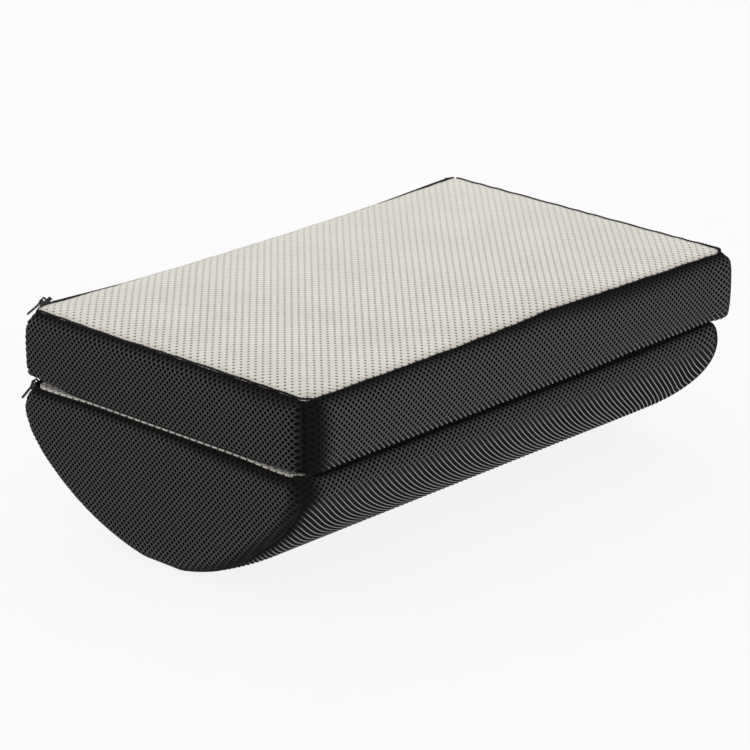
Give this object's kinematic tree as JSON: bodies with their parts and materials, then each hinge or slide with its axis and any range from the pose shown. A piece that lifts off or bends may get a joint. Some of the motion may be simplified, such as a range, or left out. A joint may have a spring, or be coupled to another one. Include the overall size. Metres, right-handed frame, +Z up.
{
  "type": "two-layer kneeling pad with zipped covers",
  "caption": "Foam kneeling pad: a flat slab cushion lying on a half-round bolster, both in zipped covers with perforated cream tops and black air-mesh sides",
  "frame": {"origin": "Middle of the flattened strip that the bolster's belly rests on", "axes": "+X along the pad's long side to the right end, +Y towards the long side with the zips, +Z up"},
  "size_m": [0.4422, 0.2809, 0.1555],
  "materials": {
    "foam": "open-cell polyurethane foam, cream",
    "perforated_cloth": "cream knit with rows of small holes, matte",
    "air_mesh": "black three-dimensional spacer mesh with diagonal ribs",
    "seam_thread": "black overlocked thread",
    "zip_tape": "black woven tape",
    "zip_plastic": "black nylon coil",
    "zip_metal": "black enamelled zinc",
    "hook_and_loop": "black hook-and-loop strip"
  },
  "bodies": {
    "lower_cushion": {"lower_foam_core": "foam", "lower_top_panel": "perforated_cloth", "lower_wrap_panel": "air_mesh", "lower_left_end_panel": "air_mesh", "lower_right_end_panel": "air_mesh", "lower_left_end_welt": "seam_thread", "lower_right_end_welt": "seam_thread", "lower_top_seam": "seam_thread", "lower_zip_top_tape": "zip_tape", "lower_zip_bottom_tape": "zip_tape", "lower_zip_top_coil": "zip_plastic", "lower_zip_bottom_coil": "zip_plastic", "lower_zip_top_end_stop": "zip_metal", "lower_zip_bottom_end_stop": "zip_metal", "lower_zip_base_stop": "zip_metal", "lower_hook_strip_left": "hook_and_loop", "lower_hook_strip_right": "hook_and_loop"},
    "lower_zip_slider": {"lower_zip_slider": "zip_metal"},
    "lower_zip_pull": {"lower_zip_pull": "zip_metal"},
    "upper_cushion": {"upper_foam_core": "foam", "upper_top_panel": "perforated_cloth", "upper_wrap_panel": "air_mesh", "upper_left_end_panel": "air_mesh", "upper_right_end_panel": "air_mesh", "upper_left_end_welt": "seam_thread", "upper_right_end_welt": "seam_thread", "upper_top_seam": "seam_thread", "upper_zip_top_tape": "zip_tape", "upper_zip_bottom_tape": "zip_tape", "upper_zip_top_coil": "zip_plastic", "upper_zip_bottom_coil": "zip_plastic", "upper_zip_top_end_stop": "zip_metal", "upper_zip_bottom_end_stop": "zip_metal", "upper_zip_base_stop": "zip_metal", "upper_loop_strip_left": "hook_and_loop", "upper_loop_strip_right": "hook_and_loop"},
    "upper_zip_slider": {"upper_zip_slider": "zip_metal"},
    "upper_zip_pull": {"upper_zip_pull": "zip_metal"}
  },
  "joints": [
    {"name": "upper_cushion_lift", "type": "slide", "parent": "lower_cushion", "child": "upper_cushion", "axis": [0, 0, 1], "range_m": [0, 0.12]},
    {"name": "lower_zip_travel", "type": "slide", "parent": "lower_cushion", "child": "lower_zip_slider", "axis": [1, 0, 0], "range_m": [0, 0.402]},
    {"name": "lower_zip_pull_swing", "type": "hinge", "parent": "lower_zip_slider", "child": "lower_zip_pull", "pos_m": [-0.2012, 0.13383, 0.09668], "axis": [0.5878, 0.52, -0.6197], "range_deg": [0, 115]},
    {"name": "upper_zip_travel", "type": "slide", "parent": "upper_cushion", "child": "upper_zip_slider", "axis": [1, 0, 0], "range_m": [0, 0.4]},
    {"name": "upper_zip_pull_swing", "type": "hinge", "parent": "upper_zip_slider", "child": "upper_zip_pull", "pos_m": [-0.1912, 0.13608, 0.15118], "axis": [0.4226, 0.5826, -0.6943], "range_deg": [0, 170]}
  ]
}
